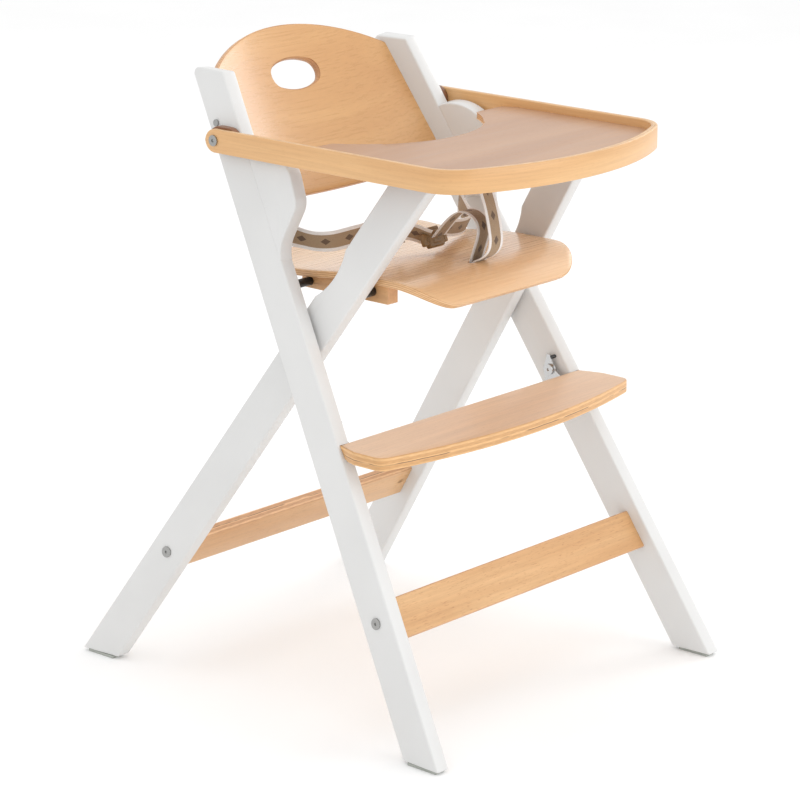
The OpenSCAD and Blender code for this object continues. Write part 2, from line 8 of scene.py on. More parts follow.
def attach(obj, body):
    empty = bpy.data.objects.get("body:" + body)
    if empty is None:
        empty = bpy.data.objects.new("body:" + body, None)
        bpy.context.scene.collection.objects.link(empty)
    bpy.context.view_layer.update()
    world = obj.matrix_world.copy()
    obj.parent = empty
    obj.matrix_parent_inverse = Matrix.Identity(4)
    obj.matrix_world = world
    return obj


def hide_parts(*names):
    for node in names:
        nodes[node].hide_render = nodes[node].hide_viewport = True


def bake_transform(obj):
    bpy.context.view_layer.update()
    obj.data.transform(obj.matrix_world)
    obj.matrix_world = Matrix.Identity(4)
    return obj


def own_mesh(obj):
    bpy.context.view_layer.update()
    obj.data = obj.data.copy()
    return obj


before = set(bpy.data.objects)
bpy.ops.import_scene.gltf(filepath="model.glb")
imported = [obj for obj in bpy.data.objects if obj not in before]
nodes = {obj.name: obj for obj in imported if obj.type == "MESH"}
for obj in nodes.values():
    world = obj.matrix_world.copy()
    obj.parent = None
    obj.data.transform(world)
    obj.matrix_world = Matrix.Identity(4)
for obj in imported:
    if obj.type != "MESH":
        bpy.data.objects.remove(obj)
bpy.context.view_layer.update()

MM = 0.001
ROW_Y = 1.3 * MM               # from the chair's own origin to the row frame's, towards the rear

# ---------------------------------------------------------------- camera
AZIMUTH = math.radians(-48.214)
ELEVATION = math.radians(15.995)
FOCAL_PX = 3261.5
IMAGE_PX = 800
SENSOR_MM = 36
CAMERA_AT = Vector((-3.2891, -2.9458, 1.6455))


def make_camera():
    back = Vector((math.sin(AZIMUTH) * math.cos(ELEVATION),
                   -math.cos(AZIMUTH) * math.cos(ELEVATION), math.sin(ELEVATION)))
    right = Vector((math.cos(AZIMUTH), math.sin(AZIMUTH), 0))
    up = back.cross(right)
    data = bpy.data.cameras.new("camera")
    data.sensor_width = SENSOR_MM
    data.lens = FOCAL_PX / IMAGE_PX * SENSOR_MM
    data.clip_end = 60
    cam = bpy.data.objects.new("camera", data)
    turn = Matrix((right, up, back)).transposed().to_4x4()
    cam.matrix_world = Matrix.Translation(CAMERA_AT) @ turn
    bpy.context.scene.collection.objects.link(cam)
    bpy.context.scene.camera = cam


make_camera()


# ---------------------------------------------------------------- shader helpers
class Mat:
    """One material and short ways to add nodes to it."""

    def __init__(self, name, rough, **sockets):
        self.mat = bpy.data.materials.new(name)
        self.mat.use_nodes = True
        self.tree = self.mat.node_tree
        self.bsdf = self.tree.nodes["Principled BSDF"]
        self.bsdf.inputs["Roughness"].default_value = rough
        for key, value in sockets.items():
            self.bsdf.inputs[key.replace("_", " ")].default_value = value
        self.coords = self.node("ShaderNodeTexCoord").outputs["Object"]

    def node(self, kind, **props):
        made = self.tree.nodes.new(kind)
        for key, value in props.items():
            setattr(made, key, value)
        return made

    def link(self, a, b):
        self.tree.links.new(a, b)

    def put(self, socket, value):
        if isinstance(value, (int, float, tuple)):
            socket.default_value = value
        else:
            self.link(value, socket)

    def noise(self, scale, detail, rough=0.5, distortion=0.0, move=(0, 0, 0)):
        """Noise in the piece's own space. scale gives the cells a metre along each axis."""
        place = self.node("ShaderNodeMapping")
        place.inputs["Scale"].default_value = scale
        place.inputs["Location"].default_value = move
        self.link(self.coords, place.inputs["Vector"])
        n = self.node("ShaderNodeTexNoise")
        for key, value in (("Scale", 1.0), ("Detail", detail), ("Roughness", rough),
                           ("Distortion", distortion)):
            n.inputs[key].default_value = value
        self.link(place.outputs["Vector"], n.inputs["Vector"])
        return n.outputs["Fac"]

    def math(self, op, a, b=0.0):
        n = self.node("ShaderNodeMath", operation=op)
        self.put(n.inputs[0], a)
        self.put(n.inputs[1], b)
        return n.outputs[0]

    def ramp(self, factor, stops):
        n = self.node("ShaderNodeValToRGB")
        while len(n.color_ramp.elements) < len(stops):
            n.color_ramp.elements.new(0.5)
        for element, (at, colour) in zip(n.color_ramp.elements, stops):
            element.position = at
            if isinstance(colour, (int, float)):
                colour = (colour, colour, colour)
            element.color = (*colour, 1)
        self.link(factor, n.inputs["Fac"])
        return n.outputs["Color"]

    def mix(self, factor, a, b, blend="MIX"):
        n = self.node("ShaderNodeMix", data_type="RGBA", blend_type=blend)
        self.put(n.inputs["Factor"], factor)
        for socket, value in ((n.inputs[6], a), (n.inputs[7], b)):
            self.put(socket, (*value, 1) if isinstance(value, tuple) and len(value) == 3 else value)
        return n.outputs[2]

    def bump(self, height, distance, strength):
        n = self.node("ShaderNodeBump")
        n.inputs["Distance"].default_value = distance
        n.inputs["Strength"].default_value = strength
        self.link(height, n.inputs["Height"])
        self.link(n.outputs["Normal"], self.bsdf.inputs["Normal"])

    def colour(self, socket):
        self.link(socket, self.bsdf.inputs["Base Color"])

    def rough(self, socket):
        self.link(socket, self.bsdf.inputs["Roughness"])

    def attribute(self, name):
        return self.node("ShaderNodeAttribute", attribute_name=name).outputs["Fac"]

    def follow_bend(self):
        """Patterns run along a bent strip: X is the distance along it, which its mesh carries as 'run'."""
        place = self.node("ShaderNodeSeparateXYZ")
        self.link(self.coords, place.inputs[0])
        strip = self.node("ShaderNodeCombineXYZ")
        self.link(self.attribute("run"), strip.inputs[0])
        self.link(place.outputs["Z"], strip.inputs[2])
        self.coords = strip.outputs[0]


def srgb(r, g, b):
    """A colour given as 0-255 screen values, made linear."""
    return tuple(((c / 255 + 0.055) / 1.055) ** 2.4 if c > 10 else c / 3294.6 for c in (r, g, b))


def midway(a, b):
    return tuple((p + q) / 2 for p, q in zip(a, b))


# ---------------------------------------------------------------- materials
def lacquer():
    m = Mat("white_lacquer", 0.36, Coat_Weight=0.15, Coat_Roughness=0.2)
    tone = m.noise((7, 7, 7), 2)
    m.colour(m.ramp(tone, [(0.3, srgb(214, 214, 213)), (0.7, srgb(220, 220, 219))]))
    peel = m.noise((420, 420, 420), 2)
    m.rough(m.ramp(tone, [(0.3, 0.32), (0.7, 0.42)]))
    m.bump(peel, 0.00012, 0.35)
    return m.mat


def grain(m, along, light, dark, fleck, pull, figure):
    """Beech-like figure running along axis 'along' (0, 1 or 2): broad bands, fine lines and short flecks.
    fleck and figure are the strengths of the flecks and lines, pull moves the whole pattern."""
    def stretch(length, across):
        s = [across] * 3
        s[along] = length
        return tuple(s)
    broad = m.noise(stretch(1.5, 13), 4, distortion=0.9, move=pull)
    fine = m.noise(stretch(7, 260), 5, rough=0.65, move=pull)
    flecks = m.noise(stretch(95, 1150), 1, move=pull)
    base = m.ramp(broad, [(0.25, dark), (0.5, midway(light, dark)), (0.72, light)])
    lines = m.ramp(fine, [(0.3, (0.80, 0.76, 0.72)), (0.62, (1.04, 1.03, 1.02))])
    base = m.mix(figure, base, lines, "MULTIPLY")
    dashes = m.ramp(flecks, [(0.63, (1, 1, 1)), (0.72, (0.68, 0.55, 0.45))])
    return m.mix(fleck, base, dashes, "MULTIPLY"), fine


def varnished(name, along, light, dark, rough, fleck, pull=(0, 0, 0), gloss=0.25, figure=0.55, bent=False):
    m = Mat(name, rough, Coat_Weight=gloss, Coat_Roughness=0.2)
    if bent:
        m.follow_bend()
    colour, fine = grain(m, along, light, dark, fleck, pull, figure)
    m.colour(colour)
    m.rough(m.ramp(fine, [(0.3, rough - 0.05), (0.7, rough + 0.08)]))
    m.bump(fine, 0.0002, 0.6 * figure)
    return m.mat


CRACK_DEPTH = 0.63             # share of the thickness at which the split lies


def ply_edge(name, layers, light, dark, glue=0.6, crack=0.0):
    """The cut edge of plywood: one stripe a layer, end grain darker than long grain, broken along its length.
    crack is the strength of a thin dark split that comes and goes along the middle layers."""
    m = Mat(name, 0.42, Coat_Weight=0.2, Coat_Roughness=0.3)
    depth = m.attribute("ply")
    wavy = m.math("ADD", depth, m.math("MULTIPLY", m.noise((35, 35, 12), 2), 0.10))
    stripe = m.math("PINGPONG", m.math("MULTIPLY", wavy, float(layers)), 1.0)
    pores = m.noise((85, 85, 1300), 4)
    base = m.ramp(stripe, [(0.28, dark), (0.5, midway(light, dark)), (0.72, light)])
    speck = m.ramp(pores, [(0.35, (0.72, 0.66, 0.6)), (0.6, (1.03, 1.02, 1.0))])
    off_middle = m.math("ABSOLUTE", m.math("SUBTRACT", stripe, 0.5))
    line = m.ramp(off_middle, [(0.02, (0.62, 0.5, 0.42)), (0.1, (1, 1, 1))])
    colour = m.mix(glue, m.mix(0.6, base, speck, "MULTIPLY"), line, "MULTIPLY")
    if crack:
        run = m.noise((16, 16, 3), 3)
        near = m.math("ABSOLUTE", m.math("SUBTRACT", wavy, CRACK_DEPTH))
        thin = m.ramp(near, [(0.018, 1.0), (0.04, 0.0)])
        open_here = m.ramp(run, [(0.46, 0.0), (0.54, 1.0)])
        split = m.math("MULTIPLY", m.math("MULTIPLY", thin, open_here), crack)
        colour = m.mix(split, colour, srgb(112, 72, 46))
    m.colour(colour)
    m.bump(pores, 0.0002, 0.4)
    return m.mat


SPREAD = 0.06                  # how far the roughness of metal and plastic wanders


def metal(name, colour, rough):
    m = Mat(name, rough, Metallic=1.0)
    brush = m.noise((900, 900, 300), 3)
    m.colour(m.ramp(brush, [(0.3, tuple(c * 0.86 for c in colour)), (0.7, colour)]))
    m.rough(m.ramp(brush, [(0.3, rough - SPREAD), (0.7, rough + SPREAD)]))
    m.bump(brush, 0.00005, 0.3)
    return m.mat


def plastic(name, colour, rough, grit=900):
    m = Mat(name, rough)
    speck = m.noise((grit, grit, grit), 2)
    wide = m.noise((40, 40, 40), 2)
    m.colour(m.ramp(wide, [(0.3, tuple(c * 0.85 for c in colour)), (0.7, colour)]))
    m.rough(m.ramp(wide, [(0.3, rough - SPREAD), (0.7, rough + SPREAD)]))
    m.bump(speck, 0.0001, 0.4)
    return m.mat


WEB_MM = 29.0                  # width of the webbing
SELVEDGE = 5.0                 # width of its pale edges
LOZENGE_LONG, LOZENGE_HIGH = 7.0, 4.6      # half of its length and width
LOZENGE_STEP = 34.0            # from one lozenge to the next


def webbing():
    """Taupe tape with pale selvedges, a herringbone weave and a row of plain dark lozenges."""
    m = Mat("webbing", 0.86, Sheen_Weight=0.25)
    u = m.attribute("web_u")   # millimetres along the tape
    v = m.attribute("web_v")   # millimetres from its middle
    side = m.math("ABSOLUTE", v)
    zig = m.math("PINGPONG", v, 2.2)
    rib = m.math("SINE", m.math("MULTIPLY", m.math("ADD", u, zig), 4.2))
    rib = m.math("ADD", m.math("MULTIPLY", rib, 0.5), 0.5)
    thread = m.math("SINE", m.math("MULTIPLY", v, 7.5))
    weave = m.math("ADD", m.math("MULTIPLY", rib, 0.7), m.math("MULTIPLY", m.math("ADD", thread, 1.0), 0.15))
    fuzz = m.noise((1500, 1500, 1500), 2)
    body = m.mix(weave, srgb(134, 110, 84), srgb(186, 160, 130))
    # inside a lozenge, distance along / half length + distance across / half width is under 1
    away = m.math("PINGPONG", u, LOZENGE_STEP / 2)
    lozenge = m.math("ADD", m.math("DIVIDE", away, LOZENGE_LONG), m.math("DIVIDE", side, LOZENGE_HIGH))
    mark = m.math("LESS_THAN", lozenge, 1.0)
    body = m.mix(m.math("MULTIPLY", mark, 0.8), body, srgb(78, 58, 48))
    edge = m.math("GREATER_THAN", side, WEB_MM / 2 - SELVEDGE)
    pale = m.mix(rib, srgb(222, 216, 212), srgb(250, 248, 246))
    tape = m.mix(edge, body, pale)
    m.colour(m.mix(0.35, tape, m.ramp(fuzz, [(0.35, 0.78), (0.65, 1.06)]), "MULTIPLY"))
    m.bump(weave, 0.00025, 0.7)
    return m.mat


BEECH = srgb(225, 183, 133)
BEECH_DARK = srgb(202, 152, 100)
mats = {
    "lacquer": lacquer(),
    "back": varnished("back_veneer", 0, srgb(218, 170, 113), srgb(202, 150, 95), 0.28, 0.2,
                      gloss=0.6, figure=0.35),
    "seat": varnished("seat_veneer", 0, srgb(241, 203, 158), srgb(233, 190, 143), 0.26, 0.1,
                      (0.4, 0.2, 0), gloss=0.5, figure=0.12),
    "rim": varnished("rim_veneer", 0, srgb(228, 184, 130), srgb(212, 162, 108), 0.34, 0.3,
                     (0.7, 0, 0.3), bent=True),
    "board": varnished("board_veneer", 0, srgb(192, 151, 118), srgb(176, 133, 101), 0.42, 0.4, (0.1, 0.9, 0)),
    "foot": varnished("foot_veneer", 0, srgb(232, 199, 167), srgb(219, 182, 148), 0.42, 0.35, (0.3, 0.5, 0)),
    "rail": varnished("rail_timber", 0, BEECH, BEECH_DARK, 0.36, 0.7, (0.6, 0.3, 0.2)),
    "bearer": varnished("bearer_timber", 1, srgb(226, 182, 132), srgb(204, 156, 108), 0.4, 0.5),
    "block": varnished("block_timber", 1, srgb(140, 92, 58), srgb(104, 64, 38), 0.4, 0.5),
    "zinc": metal("zinc", (0.40, 0.40, 0.39), 0.3),
    "bracket": metal("bracket_steel", (0.62, 0.62, 0.62), 0.22),
    "steel": metal("black_steel", (0.09, 0.09, 0.09), 0.45),
    "brass": metal("brass", (0.62, 0.47, 0.22), 0.35),
    "black": plastic("black_plastic", (0.012, 0.012, 0.012), 0.42),
    "buckle": plastic("buckle_plastic", srgb(140, 110, 72), 0.3),
    "olive": plastic("olive_plastic", srgb(142, 116, 76), 0.4),
    "pad": plastic("pad_plastic", srgb(172, 175, 168), 0.6, 500),
    "webbing": webbing(),
    "seat_edge": ply_edge("seat_edge", 7, srgb(238, 197, 148), srgb(206, 157, 110)),
    "rim_edge": ply_edge("rim_edge", 6, srgb(240, 206, 158), srgb(206, 158, 106)),
    "foot_edge": ply_edge("foot_edge", 5, srgb(232, 186, 130), srgb(212, 163, 109), 0.45, 0.95),
    "back_edge": ply_edge("back_edge", 7, srgb(226, 178, 126), srgb(184, 132, 88)),
    "rail_edge": ply_edge("rail_edge", 5, srgb(232, 190, 146), srgb(204, 156, 116), 0.6, 0.9),
}


# ---------------------------------------------------------------- the chair's own geometry, in millimetres
PIVOT_Y, PIVOT_Z = -27.5, 510.7
FRONT_LEAN, REAR_LEAN = math.radians(29.7), math.radians(33.9)
FRONT_SPLAY, REAR_SPLAY = math.radians(6.45), math.radians(7.07)
LEG_T, LEG_W, LEG_GAP = 23.0, 55.5, 4.4
HALF_LEG = LEG_W / 2
PIVOT_X = 240                  # outer face of the front legs, level with the fold pivot
FRONT_ACROSS, REAR_ACROSS = LEG_T / math.cos(FRONT_SPLAY), LEG_T / math.cos(REAR_SPLAY)
FRONT_X = PIVOT_X - FRONT_ACROSS / 2
REAR_X = PIVOT_X - FRONT_ACROSS - LEG_GAP - REAR_ACROSS / 2


def front_inner(up):
    """Half the width between the front legs, up millimetres along them from the fold pivot."""
    return PIVOT_X - FRONT_ACROSS - up * math.tan(FRONT_SPLAY)


def rear_inner(up):
    return REAR_X - REAR_ACROSS / 2 - up * math.tan(REAR_SPLAY)


def row(point):
    """Millimetres in the chair's own frame to metres in the row frame."""
    return Vector((point[0] * MM, point[1] * MM + ROW_Y, point[2] * MM))


def at_pivot(lean):
    return Matrix.Translation((0, PIVOT_Y, PIVOT_Z)) @ Matrix.Rotation(-lean, 4, "X")


FRONT = at_pivot(FRONT_LEAN)
REAR = at_pivot(-REAR_LEAN)
FRONT_LEG = FRONT @ Matrix.Translation((FRONT_X, 0, 0)) @ Matrix.Rotation(-FRONT_SPLAY, 4, "Y")
REAR_LEG = REAR @ Matrix.Translation((REAR_X, 0, 0)) @ Matrix.Rotation(-REAR_SPLAY, 4, "Y")
MIRROR = Matrix.Scale(-1, 4, (1, 0, 0))


def arc(cx, cy, r, start, end, steps):
    return [(cx + r * math.cos(a), cy + r * math.sin(a))
            for a in (math.radians(start + (end - start) * i / steps) for i in range(steps + 1))]


# ---------------------------------------------------------------- mesh helpers
SMOOTH_BELOW = 40              # degrees: sharper edges than this stay sharp


def finish_piece(name, bm, materials, body, replaced=(), smooth=SMOOTH_BELOW):
    """bm, in the chair's millimetres, becomes an object that rides on body."""
    bmesh.ops.recalc_face_normals(bm, faces=bm.faces)
    for v in bm.verts:
        v.co = row(v.co)
    mesh = bpy.data.meshes.new(name)
    bm.to_mesh(mesh)
    bm.free()
    for face in mesh.polygons:
        face.use_smooth = True
    mesh.set_sharp_from_angle(angle=math.radians(smooth))
    for key in materials:
        mesh.materials.append(mats[key])
    obj = bpy.data.objects.new(name, mesh)
    bpy.context.scene.collection.objects.link(obj)
    if body:
        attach(obj, body)
    if replaced:
        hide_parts(*replaced)
    return obj


def skin(bm, rings, capped=True):
    """Faces between closed rings of verts. Returns them in order, each with its place round the ring."""
    made = []
    count = len(rings[0])
    for a, b in zip(rings, rings[1:]):
        for k in range(count):
            j = (k + 1) % count
            made.append((k, bm.faces.new((a[k], a[j], b[j], b[k]))))
    if capped:
        bm.faces.new(rings[0])
        bm.faces.new(reversed(rings[-1]))
    return made


def prism(profile, half, place, cuts, width, mirrored):
    """A profile of [across, up] points, extruded along X, cut by planes and with its sharp edges rounded."""
    bm = bmesh.new()
    skin(bm, [[bm.verts.new((x, a, b)) for a, b in profile] for x in (-half, half)])
    bm.transform(place)
    for point, normal in cuts:
        result = bmesh.ops.bisect_plane(bm, geom=bm.verts[:] + bm.edges[:] + bm.faces[:],
                                        plane_co=point, plane_no=normal, clear_outer=True)
        edges = [e for e in result["geom_cut"] if isinstance(e, bmesh.types.BMEdge)]
        bmesh.ops.edgeloop_fill(bm, edges=edges)
    bmesh.ops.recalc_face_normals(bm, faces=bm.faces)
    sharp = [e for e in bm.edges if e.calc_face_angle(0) > math.radians(30)]
    bmesh.ops.bevel(bm, geom=sharp, offset=width, segments=3, profile=0.5, affect="EDGES",
                    clamp_overlap=False)
    if mirrored:
        bm.transform(MIRROR)
    return bm


def both(name, make, body, node):
    """The left and right lacquered pieces that make() shapes."""
    for side in ("left", "right"):
        finish_piece(f"{side}_{name}", make(side == "left"), ["lacquer"], body, [f"{side}_{node}"])


# ---------------------------------------------------------------- legs
FRONT_LEG_TOP, REAR_LEG_TOP = 856, 759
PAD_TOP = 4                    # the legs end here, on their pads
PAST_FLOOR = -700              # the boards start below the floor and are then cut level
LEG_ROUND = 2.6                # radius of the legs' long edges
FLOOR_CUT = ((0, 0, PAD_TOP), (0, 0, -1))
HOLLOW_R, HOLLOW_DEPTH, HOLLOW_UP = 104.6, 8.8, 100


def front_leg(mirrored):
    r = 8
    sine, cosine = math.sin(FRONT_LEAN), math.cos(FRONT_LEAN)
    top = (FRONT_LEG_TOP - PIVOT_Z + HALF_LEG * sine) / (cosine * math.cos(FRONT_SPLAY))
    slide = r * (1 + sine) / cosine
    rear_top = top - LEG_W * math.tan(FRONT_LEAN)
    profile = [(HALF_LEG, PAST_FLOOR), (-HALF_LEG, PAST_FLOOR), (-HALF_LEG, rear_top)]
    profile += arc(HALF_LEG - r, top - r * cosine - slide * sine, r, 90 + math.degrees(FRONT_LEAN), 0, 10)
    return prism(profile, LEG_T / 2, FRONT_LEG, [FLOOR_CUT], LEG_ROUND, mirrored)


def leg_wing(mirrored):
    """Its outline, [up, forward], starts inside the leg: the wing is glued to the leg's front edge."""
    inside, root = HALF_LEG - 2.2, HALF_LEG - 9
    points = [(277, inside), (125, inside), (112, root), (104, root)]
    points += arc(105, HALF_LEG + 40, 40, -80, -35, 12)
    points += arc(183.4, 61.2, 28, 145, 90, 12)
    points += arc(208, 22, 70, 90, 6, 26)
    profile = [(-forward, up) for up, forward in points]
    return prism(profile, LEG_T / 2 - 0.08, FRONT_LEG, (), 2.4, mirrored)


def rear_leg(mirrored):
    middle = HALF_LEG - HOLLOW_DEPTH + HOLLOW_R
    half_turn = math.degrees(math.acos((middle - HALF_LEG) / HOLLOW_R))
    hollow = arc(middle, HOLLOW_UP, HOLLOW_R, 180 + half_turn, 180 - half_turn, 20)
    past_top = 400
    profile = [(-HALF_LEG, PAST_FLOOR), (HALF_LEG, PAST_FLOOR)] + hollow
    profile += [(HALF_LEG, past_top), (-HALF_LEG, past_top)]
    cuts = [FLOOR_CUT, ((0, 0, REAR_LEG_TOP), (0, 0, 1))]
    return prism(profile, LEG_T / 2, REAR_LEG, cuts, LEG_ROUND, mirrored)


both("leg_front_board", front_leg, "front_frame", "front_leg")
both("wing_board", leg_wing, "front_frame", "leg_wing")
both("leg_rear_board", rear_leg, "rear_frame", "rear_leg")


# ---------------------------------------------------------------- crossrails
RAIL_T, RAIL_H = 18.0, 57
FRONT_RAIL_UP, REAR_RAIL_UP = -391, -412          # middles of the rails, from the fold pivot
FRONT_BOLT_UP, REAR_BOLT_UP = -388.5, -405
NUT_R = 5


def crossrail(name, up, inner, place, body, node):
    """A plywood board between the legs. Its long edges show the layers, and carry the 'ply' attribute."""
    low, high = up - RAIL_H / 2, up + RAIL_H / 2
    bm = bmesh.new()
    ply = bm.verts.layers.float.new("ply")
    corners = [(inner(low), low), (inner(high), high), (-inner(high), high), (-inner(low), low)]
    skin(bm, [[bm.verts.new((x, n, z)) for x, z in corners] for n in (-RAIL_T / 2, RAIL_T / 2)])
    bmesh.ops.recalc_face_normals(bm, faces=bm.faces)
    long_edges = [e for e in bm.edges if e.calc_length() > 300]
    bmesh.ops.bevel(bm, geom=long_edges, offset=2.5, segments=4, profile=0.5, affect="EDGES")
    for v in bm.verts:
        v[ply] = v.co.y / RAIL_T + 0.5
    bm.normal_update()
    for face in bm.faces:
        face.material_index = 1 if abs(face.normal.z) > 0.5 else 0
    bm.transform(place)
    return finish_piece(name, bm, ["rail", "rail_edge"], body, [node])


rail_front = crossrail("rail_front", FRONT_RAIL_UP, front_inner, FRONT, "front_frame", "front_crossrail")
rail_rear = crossrail("rail_rear", REAR_RAIL_UP, rear_inner, REAR, "rear_frame", "rear_crossrail")


def cut(obj, bm_cutter, material):
    """Takes the cutter, in the chair's millimetres, out of obj."""
    cutter = finish_piece("cutter", bm_cutter, [material], None)
    mod = obj.modifiers.new("cut", "BOOLEAN")
    mod.object = cutter
    mod.solver = "MANIFOLD"
    mod.material_mode = "TRANSFER"
    bpy.context.view_layer.update()
    graph = bpy.context.evaluated_depsgraph_get()
    mesh = bpy.data.meshes.new_from_object(obj.evaluated_get(graph))
    obj.modifiers.clear()
    obj.data = mesh
    bpy.data.objects.remove(cutter)
    mesh.set_sharp_from_angle(angle=math.radians(SMOOTH_BELOW))


def nut_bore(place, x, up, near, far, mirrored):
    """The blind bore of a barrel nut, in a leg's frame, from near to far across the rail."""
    bm = bmesh.new()
    bmesh.ops.create_cone(bm, cap_ends=True, segments=32, radius1=NUT_R, radius2=NUT_R, depth=far - near)
    middle = Matrix.Translation((x, (near + far) / 2, up))
    bm.transform(place @ middle @ Matrix.Rotation(math.radians(90), 4, "X"))
    if mirrored:
        bm.transform(MIRROR)
    return bm


FRONT_NUT_UP, REAR_NUT_UP = FRONT_BOLT_UP / math.cos(FRONT_SPLAY), REAR_BOLT_UP / math.cos(REAR_SPLAY)
for right_end in (False, True):
    cut(rail_front, nut_bore(FRONT_LEG, -35, FRONT_NUT_UP, -7.8, 14, right_end), "rail")
    cut(rail_rear, nut_bore(REAR_LEG, -26, REAR_NUT_UP, -14, 7.8, right_end), "rail")


# ---------------------------------------------------------------- bent and flat plywood panels
def panel(name, grid, normal_at, thick, materials, body, node, round_r):
    """grid: rows of outer-surface points. The solid lies thick behind them, with rounded ply edges.
    materials = [face, edge]; the edge carries the 'ply' attribute, 0 at the face and 1 at the back."""
    rows_n, cols = len(grid), len(grid[0])
    loop = [(0, j) for j in range(cols)] + [(i, cols - 1) for i in range(1, rows_n)]
    loop += [(rows_n - 1, j) for j in range(cols - 2, -1, -1)] + [(i, 0) for i in range(rows_n - 2, 0, -1)]
    edge_points = [Vector(grid[i][j]) for i, j in loop]
    normals = [Vector(normal_at(p)).normalized() for p in edge_points]
    centre = sum(edge_points, Vector()) / len(edge_points)
    inward = []
    for k, p in enumerate(edge_points):
        tangent = (edge_points[(k + 1) % len(loop)] - edge_points[k - 1]).normalized()
        side = tangent.cross(normals[k]).normalized()
        if side.dot(centre - p) < 0:
            side = -side
        inward.append(side)
    bm = bmesh.new()
    ply = bm.verts.layers.float.new("ply")

    def ring(depth, inset):
        made = []
        for p, n, s in zip(edge_points, normals, inward):
            v = bm.verts.new(p - n * depth + s * inset)
            v[ply] = depth / thick
            made.append(v)
        return made

    steps = [(round_r * (1 - math.cos(a)), round_r * (1 - math.sin(a)))
             for a in (math.radians(d) for d in (30, 60, 90))]
    rings = [ring(0, round_r)]
    rings += [ring(d, i) for d, i in steps]
    for k in range(1, 4):
        rings.append(ring(round_r + (thick - 2 * round_r) * k / 4, 0))
    rings += [ring(thick - d, i) for d, i in reversed(steps)]
    rings.append(ring(thick, round_r))
    for _, face in skin(bm, rings, capped=False):
        face.material_index = 1
    for at_ring, depth in ((rings[0], 0.0), (rings[-1], thick)):
        verts = {key: v for key, v in zip(loop, at_ring)}
        for i in range(1, rows_n - 1):
            for j in range(1, cols - 1):
                p = Vector(grid[i][j])
                v = bm.verts.new(p - Vector(normal_at(p)).normalized() * depth)
                v[ply] = depth / thick
                verts[i, j] = v
        for i in range(rows_n - 1):
            for j in range(cols - 1):
                bm.faces.new((verts[i, j], verts[i, j + 1], verts[i + 1, j + 1], verts[i + 1, j]))
    return finish_piece(name, bm, materials, body, [node])


# seat
SEAT_HALF, SEAT_FRONT, SEAT_REAR, SEAT_Z, WAVE = 168, -212, 115, 600, 5.5
WAVE_CREST, WAVE_LENGTH = -95, 300
LIP_Y, LIP_R, SLOT_Y = -147, 83, -149
SLOT_HALF, SLOT_REACH = 17, 5  # half the strap slot's length and width


def seat_top(y):
    if y < LIP_Y:
        return SEAT_Z + WAVE - LIP_R + math.sqrt(LIP_R ** 2 - (y - LIP_Y) ** 2)
    if y < WAVE_CREST:
        return SEAT_Z + WAVE
    return SEAT_Z + WAVE * math.cos(math.tau * (y - WAVE_CREST) / WAVE_LENGTH)


def seat_slope(y):
    return seat_top(y + 0.5) - seat_top(y - 0.5)


def seat_rows():
    front_r, rear_r = 61, 30
    ys = [(SEAT_FRONT + front_r * (1 - math.sin(a)), SEAT_HALF - front_r * (1 - math.cos(a)))
          for a in (math.radians(90 - 90 * i / 24) for i in range(25))]
    first = ys[-1][0]
    last = SEAT_REAR - rear_r
    steps = 34
    ys += [(first + (last - first) * i / steps, SEAT_HALF) for i in range(1, steps)]
    ys += [(last + rear_r * math.sin(a), SEAT_HALF - rear_r * (1 - math.cos(a)))
           for a in (math.radians(90 * i / 10) for i in range(11))]
    cols = 24
    return [[(half * (2 * j / cols - 1), y, seat_top(y)) for j in range(cols + 1)] for y, half in ys]


seat = panel("seat_board", seat_rows(), lambda p: (0, -seat_slope(p[1]), 1), 9.5,
             ["seat", "seat_edge"], "seat_unit", "seat", 1.8)


def box(x0, x1, y0, y1, z0, z1):
    bm = bmesh.new()
    bmesh.ops.create_cube(bm, size=1)
    for v in bm.verts:
        v.co = (x0 if v.co.x < 0 else x1, y0 if v.co.y < 0 else y1, z0 if v.co.z < 0 else z1)
    return bm


slot_box = box(-SLOT_HALF, SLOT_HALF, SLOT_Y - SLOT_REACH, SLOT_Y + SLOT_REACH, SEAT_Z - 40, SEAT_Z + 40)
upright = [e for e in slot_box.edges if e.calc_length() > 70]
bmesh.ops.bevel(slot_box, geom=upright, offset=3.5, segments=4, profile=0.5, affect="EDGES")
cut(seat, slot_box, "seat_edge")

# backrest
BACK_CENTRE, BACK_R, BACK_T = 578, 613, 9.0
BACK_LOW, BACK_TOP, BACK_TOP_R = 204, 452, 280
BACK_LET_IN = 3.6              # how far its ends go into the grooves in the legs
HOLE_UP, HOLE_HALF, HOLE_END_R, HOLE_SIDE_R = 378.5, 45.5, 17, 90


def back_point(x, up):
    """A point of the backrest's front face."""
    n = math.sqrt(BACK_R ** 2 - x * x) - BACK_CENTRE
    return FRONT @ Vector((x, n, up))


def back_normal(p):
    q = FRONT.inverted() @ Vector(p)
    return FRONT.to_3x3() @ Vector((-q.x, -(q.y + BACK_CENTRE), 0))


def back_rows():
    cols, rows_n = 48, 30
    grid = [[None] * (cols + 1) for _ in range(rows_n + 1)]
    for j in range(cols + 1):
        u = math.sin(math.radians(90 * (2 * j / cols - 1)))
        top = BACK_TOP
        for _ in range(30):
            x = u * (front_inner(top) + BACK_LET_IN)
            top = BACK_TOP - BACK_TOP_R + math.sqrt(BACK_TOP_R ** 2 - x * x)
        for i in range(rows_n + 1):
            up = BACK_LOW + (top - BACK_LOW) * i / rows_n
            grid[i][j] = tuple(back_point(u * (front_inner(up) + BACK_LET_IN), up))
    return grid


back = panel("back_board", back_rows(), back_normal, BACK_T, ["back", "back_edge"], "front_frame",
             "backrest", 1.8)


